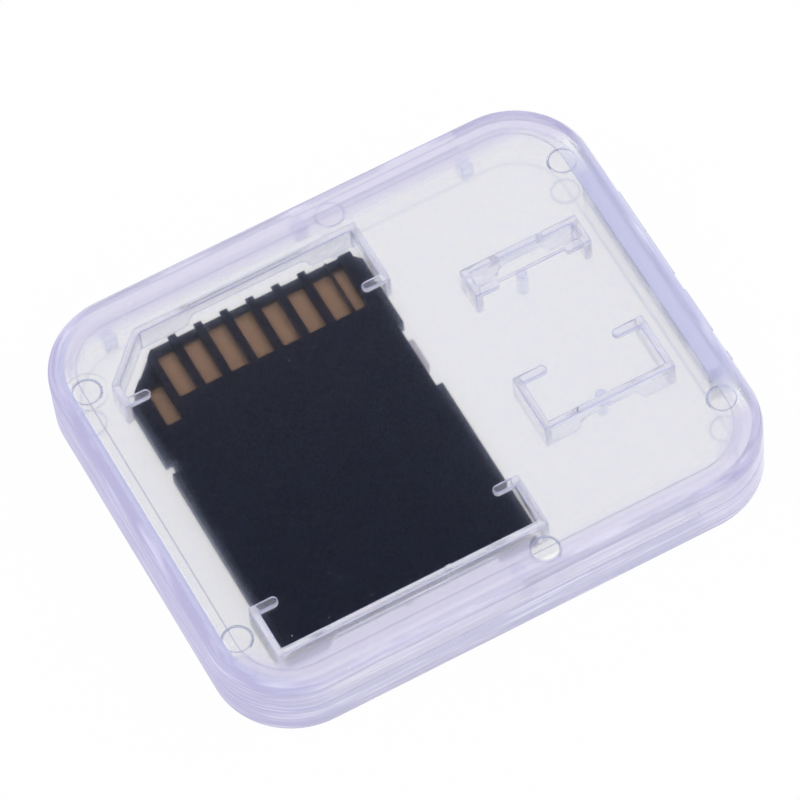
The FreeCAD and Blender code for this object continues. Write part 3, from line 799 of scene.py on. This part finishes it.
# %% [markdown]
# Each hinge strap is a thin strip folded round the parting line. A spin of its rectangular section by
# half a turn makes the fold, with enough steps for a smooth curve.

# %% Hinge straps
strap_count = 4
strap_thickness = 0.35 * MM
strap_steps = 16


def hinge_strap(number):
    """A half-round strap that bends between the cover and the tray."""
    low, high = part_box(f"hinge_strap_{number}")
    mesh = bmesh.new()
    bmesh.ops.create_grid(mesh, x_segments=1, y_segments=1, size=0.5)
    section = list(mesh.faces)[0]
    width, middle = high.y - low.y, (low.y + high.y) / 2
    upright = Matrix.Rotation(math.pi / 2, 4, "Y") @ Matrix.Diagonal((strap_thickness, width, 1, 1))
    place = Matrix.Translation((hinge_x, middle, low.z + strap_thickness / 2))
    bmesh.ops.transform(mesh, matrix=place @ upright, verts=mesh.verts)
    bmesh.ops.spin(
        mesh, geom=[section, *section.edges, *section.verts], cent=(hinge_x, 0, split), axis=(0, -1, 0),
        angle=math.pi, steps=strap_steps, use_merge=False,
    )
    bmesh.ops.remove_doubles(mesh, verts=mesh.verts, dist=weld_distance)
    bmesh.ops.recalc_face_normals(mesh, faces=mesh.faces)
    piece = finish_piece(f"strap_{number}", mesh, strap_plastic)
    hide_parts(f"hinge_strap_{number}")
    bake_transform(piece)
    return piece


straps = [hinge_strap(number) for number in range(1, strap_count + 1)]
print("strap faces:", [len(strap.data.polygons) for strap in straps])

# %% [markdown]
# Each ejector pin's disc shows a lilac circle at its edge. A thin raised ring of milky plastic in the
# disc paints that circle, as painted shade. A spin of a tiny rectangle's outline by a full turn makes
# the ring; with its face, the spin would leave walls inside. All the rings of a shell are one piece.

# %% Painted shade rings in the ejector discs
disc_depth = 0.15 * MM
ring_radius, ring_width, ring_height = 1.22 * MM, 0.09 * MM, 0.07 * MM
ring_steps = 48


def pin_shade_rings(name, body, seat, outwards):
    """The painted shade rings in a shell's ejector discs; outwards is +1 for the tray and -1 for the cover.
    """
    mesh = bmesh.new()
    for share in pin_shares:
        centre = pin_centre(share, seat)
        made = bmesh.ops.create_grid(mesh, x_segments=1, y_segments=1, size=0.5)
        section = made["verts"][0].link_faces[0]
        outline = [*section.edges, *section.verts]
        bmesh.ops.delete(mesh, geom=[section], context="FACES_ONLY")
        upright = Matrix.Rotation(math.pi / 2, 4, "X") @ Matrix.Diagonal((ring_width, ring_height, 1, 1))
        place = Matrix.Translation((centre.x + ring_radius, centre.y, seat - outwards * ring_height / 2))
        bmesh.ops.transform(mesh, matrix=place @ upright, verts=made["verts"])
        bmesh.ops.spin(
            mesh, geom=outline, cent=centre, axis=(0, 0, 1),
            angle=2 * math.pi, steps=ring_steps, use_merge=True,
        )
    bmesh.ops.remove_doubles(mesh, verts=mesh.verts, dist=weld_distance)
    bmesh.ops.recalc_face_normals(mesh, faces=mesh.faces)
    piece = finish_piece(name, mesh, strap_plastic)
    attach(piece, body)
    return piece


# These rings paint the shade at the edge of each ejector disc.
rings = [
    pin_shade_rings("tray_pin_shade_rings", "tray", ceiling + disc_depth - clear_gap, 1),
    pin_shade_rings("cover_pin_shade_rings", "cover", floor_top - disc_depth + clear_gap, -1),
]
print("ring faces:", [len(ring.data.polygons) for ring in rings])

# %% [markdown]
# The case lies on a white sweep. A floor that only reflects light would look grey round the case, so
# the floor glows at a strength of 1, which is plain white, and keeps a little share of real
# reflection for the camera, which carries the soft shadow.

# %% Floor
floor_gap = 0.02 * MM
floor_half = 3000 * MM
glow_share = 0.97


def white_floor():
    """Matt white board that glows as a lit backdrop does."""
    material, tree, output = start_material("white_board_lit")
    path = add(tree, "ShaderNodeLightPath")
    share = add(tree, RANGE, {"Value": path.outputs["Is Camera Ray"], "To Min": 1.0, "To Max": glow_share})
    lit = add(tree, "ShaderNodeBsdfDiffuse", {"Color": linear("#f4f4f6")})
    glow = add(tree, "ShaderNodeEmission", {"Color": linear("#ffffff"), "Strength": 1.0})
    mixed = add(tree, "ShaderNodeMixShader", {0: share.outputs[0], 1: lit.outputs[0], 2: glow.outputs[0]})
    tree.links.new(mixed.outputs[0], output.inputs["Surface"])
    return material


floor_mesh = bmesh.new()
bmesh.ops.create_grid(floor_mesh, x_segments=1, y_segments=1, size=floor_half)
bmesh.ops.translate(floor_mesh, vec=(0, 0, -floor_gap), verts=floor_mesh.verts)
floor = finish_piece("floor", floor_mesh, white_floor())
print("floor", floor_gap / MM, "mm below the case")

# %% [markdown]
# The studio is a pale, slightly blue room. A glossy plate mirrors the part of the room opposite to the
# camera, and a photographer hangs a black flag there, so that the mirror image doesn't veil what lies
# under the plate. Here the flag is a dark round patch of the sky.

# %% Sky with a black flag
sky_colour, sky_strength, flag_strength = "#f4f3ff", 1.0, 0.03
flag_direction = Vector((0.195, 0.49, 0.85)).normalized()
flag_core, flag_rim = math.radians(9), math.radians(20)

world = bpy.data.worlds.new("studio")
bpy.context.scene.world = world
world.use_nodes = True
tree = world.node_tree
tree.nodes.clear()
path = add(tree, "ShaderNodeLightPath")
direction = add(tree, "ShaderNodeTexCoord").outputs["Generated"]
towards = add(tree, VECTOR, {0: direction, 1: flag_direction}, operation="DOT_PRODUCT")
level = add(
    tree, RANGE,
    {"Value": towards.outputs["Value"], "From Min": math.cos(flag_rim), "From Max": math.cos(flag_core),
     "To Min": sky_strength, "To Max": flag_strength},
    interpolation_type="SMOOTHSTEP",
)
room = add(tree, "ShaderNodeBackground", {"Color": linear(sky_colour), "Strength": level.outputs[0]})
white = add(tree, "ShaderNodeBackground", {"Color": linear("#ffffff"), "Strength": 1.0})
seen = add(
    tree, MATH, {0: path.outputs["Is Camera Ray"], 1: path.outputs["Is Transmission Ray"]},
    operation="MAXIMUM",
)
mixed = add(tree, "ShaderNodeMixShader", {0: seen.outputs[0], 1: room.outputs[0], 2: white.outputs[0]})
add(tree, "ShaderNodeOutputWorld", {"Surface": mixed.outputs[0]})
print("flag's dark core", round(math.degrees(2 * flag_core)), "degrees across")

# %% [markdown]
# A sky alone lights every side alike. Two soft boxes, a weak one on the left and a stronger one on
# the right, add a little shape.

# %% Soft boxes
def soft_box(name, place, size, power):
    """A square area lamp that points at the case."""
    data = bpy.data.lights.new(name, "AREA")
    data.shape = "SQUARE"
    data.size = size
    data.energy = power
    lamp = bpy.data.objects.new(name, data)
    lamp.location = place
    lamp.rotation_euler = (-Vector(place)).to_track_quat("-Z", "Y").to_euler()
    bpy.context.scene.collection.objects.link(lamp)
    return lamp


lamps = [
    soft_box("left_soft_box", place=(-0.55, 0.15, 0.45), size=0.5, power=0.5),
    soft_box("right_soft_box", place=(0.55, -0.25, 0.4), size=0.5, power=1.0),
]
print("lamps:", [lamp.name for lamp in lamps])

# %% [markdown]
# The camera looks down on the case from its near left, through a long lens, so that parallel edges
# stay almost parallel. Its place, its target and its roll come from a fit to the edges of the fence
# round the card. Light crosses many clear faces before it reaches the floor, so the number of bounces
# goes up: with fewer, the last ones would turn black. Filter Glossy is off, because it roughens the
# plates for light on its way out of the case, which would dim all that lies inside.

# %% Camera and bounces
eye = Vector((-108.58, -271.30, 476.50)) * MM
target = Vector((0.657, 3.315, 0.0)) * MM
roll = math.radians(-7.53)
sensor_width, focal_length = 36.0, 294.9

camera_data = bpy.data.cameras.new("camera")
camera_data.sensor_width = sensor_width
camera_data.lens = focal_length
camera = bpy.data.objects.new("camera", camera_data)
aim = (target - eye).to_track_quat("-Z", "Y").to_matrix().to_4x4()
camera.matrix_world = Matrix.Translation(eye) @ aim @ Matrix.Rotation(roll, 4, "Z")
bpy.context.scene.collection.objects.link(camera)
bpy.context.scene.camera = camera
bpy.context.scene.view_settings.view_transform = "Standard"
cycles = bpy.context.scene.cycles
cycles.max_bounces, cycles.transmission_bounces = 40, 40
cycles.glossy_bounces, cycles.diffuse_bounces = 12, 6
cycles.blur_glossy = 0.0
print("camera distance", round((eye - target).length / MM, 1), "mm")
